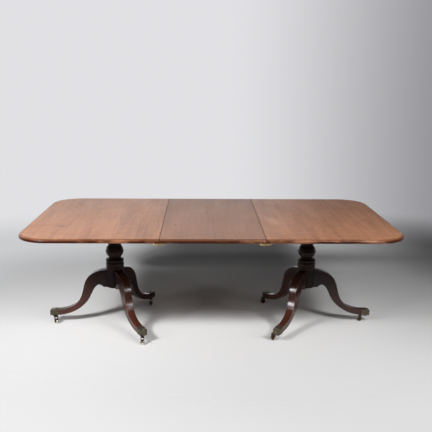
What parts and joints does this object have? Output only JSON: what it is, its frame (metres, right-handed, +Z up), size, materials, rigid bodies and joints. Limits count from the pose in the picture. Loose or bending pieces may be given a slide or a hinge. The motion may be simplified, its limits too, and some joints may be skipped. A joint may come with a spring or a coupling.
{
  "type": "double pedestal dining table",
  "caption": "Long dining table with rounded corners: two ends on turned pillars with swept legs and brass castors, and a loose leaf between them held by sliding brass clips.",
  "frame": {"origin": "on the floor under the middle of the top", "axes": "+X along the table from its left end to its right end as seen from the front, +Y away from the front, +Z up"},
  "size_m": [2.1982, 1.232, 0.709],
  "materials": {
    "mahogany_top": "polished, faded",
    "mahogany_base": "polished, dark",
    "carcass_wood": "plain, unpolished",
    "cap_brass": "tarnished",
    "castor_brass": "tarnished, worn",
    "clip_brass": "lacquered",
    "strap_iron": "forged, dark",
    "screw_steel": "dull"
  },
  "bodies": {
    "ends": {"left_end_top": "mahogany_top", "left_pillar": "mahogany_base", "left_block": "carcass_wood", "left_strap": "strap_iron", "left_front_bearer": "carcass_wood", "left_front_clip_socket": "clip_brass", "left_back_bearer": "carcass_wood", "left_back_clip_socket": "clip_brass", "right_end_top": "mahogany_top", "right_pillar": "mahogany_base", "right_block": "carcass_wood", "right_strap": "strap_iron", "right_front_bearer": "carcass_wood", "right_front_clip_socket": "clip_brass", "right_back_bearer": "carcass_wood", "right_back_clip_socket": "clip_brass", "left_outer_leg": "mahogany_base", "left_outer_toe_cap": "cap_brass", "left_front_leg": "mahogany_base", "left_front_toe_cap": "cap_brass", "left_back_leg": "mahogany_base", "left_back_toe_cap": "cap_brass", "right_outer_leg": "mahogany_base", "right_outer_toe_cap": "cap_brass", "right_front_leg": "mahogany_base", "right_front_toe_cap": "cap_brass", "right_back_leg": "mahogany_base", "right_back_toe_cap": "cap_brass", "tenon_wedges": "carcass_wood", "top_screws": "screw_steel", "strap_screws": "screw_steel", "toe_cap_pins": "cap_brass", "castor_pintles": "castor_brass", "socket_screws": "screw_steel"},
    "leaf": {"leaf": "mahogany_top", "leaf_keepers": "clip_brass", "keeper_screws": "screw_steel"},
    "left_front_clip": {"left_front_clip": "clip_brass"},
    "left_back_clip": {"left_back_clip": "clip_brass"},
    "right_front_clip": {"right_front_clip": "clip_brass"},
    "right_back_clip": {"right_back_clip": "clip_brass"},
    "left_outer_castor": {"left_outer_castor_fork": "castor_brass", "left_outer_castor_axle": "castor_brass"},
    "left_outer_wheel": {"left_outer_castor_wheel": "castor_brass"},
    "left_front_castor": {"left_front_castor_fork": "castor_brass", "left_front_castor_axle": "castor_brass"},
    "left_front_wheel": {"left_front_castor_wheel": "castor_brass"},
    "left_back_castor": {"left_back_castor_fork": "castor_brass", "left_back_castor_axle": "castor_brass"},
    "left_back_wheel": {"left_back_castor_wheel": "castor_brass"},
    "right_outer_castor": {"right_outer_castor_fork": "castor_brass", "right_outer_castor_axle": "castor_brass"},
    "right_outer_wheel": {"right_outer_castor_wheel": "castor_brass"},
    "right_front_castor": {"right_front_castor_fork": "castor_brass", "right_front_castor_axle": "castor_brass"},
    "right_front_wheel": {"right_front_castor_wheel": "castor_brass"},
    "right_back_castor": {"right_back_castor_fork": "castor_brass", "right_back_castor_axle": "castor_brass"},
    "right_back_wheel": {"right_back_castor_wheel": "castor_brass"}
  },
  "joints": [
    {"name": "leaf_lift", "type": "slide", "parent": "ends", "child": "leaf", "axis": [0, 0, 1], "range_m": [0, 0.3]},
    {"name": "left_front_clip_slide", "type": "slide", "parent": "ends", "child": "left_front_clip", "axis": [0, -1, 0], "range_m": [0, 0.08]},
    {"name": "left_back_clip_slide", "type": "slide", "parent": "ends", "child": "left_back_clip", "axis": [0, 1, 0], "range_m": [0, 0.08]},
    {"name": "right_front_clip_slide", "type": "slide", "parent": "ends", "child": "right_front_clip", "axis": [0, -1, 0], "range_m": [0, 0.08]},
    {"name": "right_back_clip_slide", "type": "slide", "parent": "ends", "child": "right_back_clip", "axis": [0, 1, 0], "range_m": [0, 0.08]},
    {"name": "left_outer_castor_swivel", "type": "hinge", "parent": "ends", "child": "left_outer_castor", "pos_m": [-1.01811, 0, 0.045], "axis": [0, 0, 1], "continuous": true},
    {"name": "left_outer_wheel_spin", "type": "hinge", "parent": "left_outer_castor", "child": "left_outer_wheel", "pos_m": [-1.00215, -0.03002, 0.0165], "axis": [0.8829, 0.4695, 0], "continuous": true},
    {"name": "left_front_castor_swivel", "type": "hinge", "parent": "ends", "child": "left_front_castor", "pos_m": [-0.41811, -0.34641, 0.045], "axis": [0, 0, 1], "continuous": true},
    {"name": "left_front_wheel_spin", "type": "hinge", "parent": "left_front_castor", "child": "left_front_wheel", "pos_m": [-0.41456, -0.38022, 0.0165], "axis": [0.9945, 0.1045, 0], "continuous": true},
    {"name": "left_back_castor_swivel", "type": "hinge", "parent": "ends", "child": "left_back_castor", "pos_m": [-0.41811, 0.34641, 0.045], "axis": [0, 0, 1], "continuous": true},
    {"name": "left_back_wheel_spin", "type": "hinge", "parent": "left_back_castor", "child": "left_back_wheel", "pos_m": [-0.41515, 0.31254, 0.0165], "axis": [0.9962, 0.0872, 0], "continuous": true},
    {"name": "right_outer_castor_swivel", "type": "hinge", "parent": "ends", "child": "right_outer_castor", "pos_m": [1.01811, 0, 0.045], "axis": [0, 0, 1], "continuous": true},
    {"name": "right_outer_wheel_spin", "type": "hinge", "parent": "right_outer_castor", "child": "right_outer_wheel", "pos_m": [0.98616, 0.01163, 0.0165], "axis": [-0.342, -0.9397, 0], "continuous": true},
    {"name": "right_front_castor_swivel", "type": "hinge", "parent": "ends", "child": "right_front_castor", "pos_m": [0.40319, -0.33736, 0.045], "axis": [0, 0, 1], "continuous": true},
    {"name": "right_front_wheel_spin", "type": "hinge", "parent": "right_front_castor", "child": "right_front_wheel", "pos_m": [0.38, -0.31249, 0.0165], "axis": [-0.7314, -0.682, 0], "continuous": true},
    {"name": "right_back_castor_swivel", "type": "hinge", "parent": "ends", "child": "right_back_castor", "pos_m": [0.40319, 0.33736, 0.045], "axis": [0, 0, 1], "continuous": true},
    {"name": "right_back_wheel_spin", "type": "hinge", "parent": "right_back_castor", "child": "right_back_wheel", "pos_m": [0.37715, 0.35921, 0.0165], "axis": [-0.6428, -0.766, 0], "continuous": true}
  ]
}
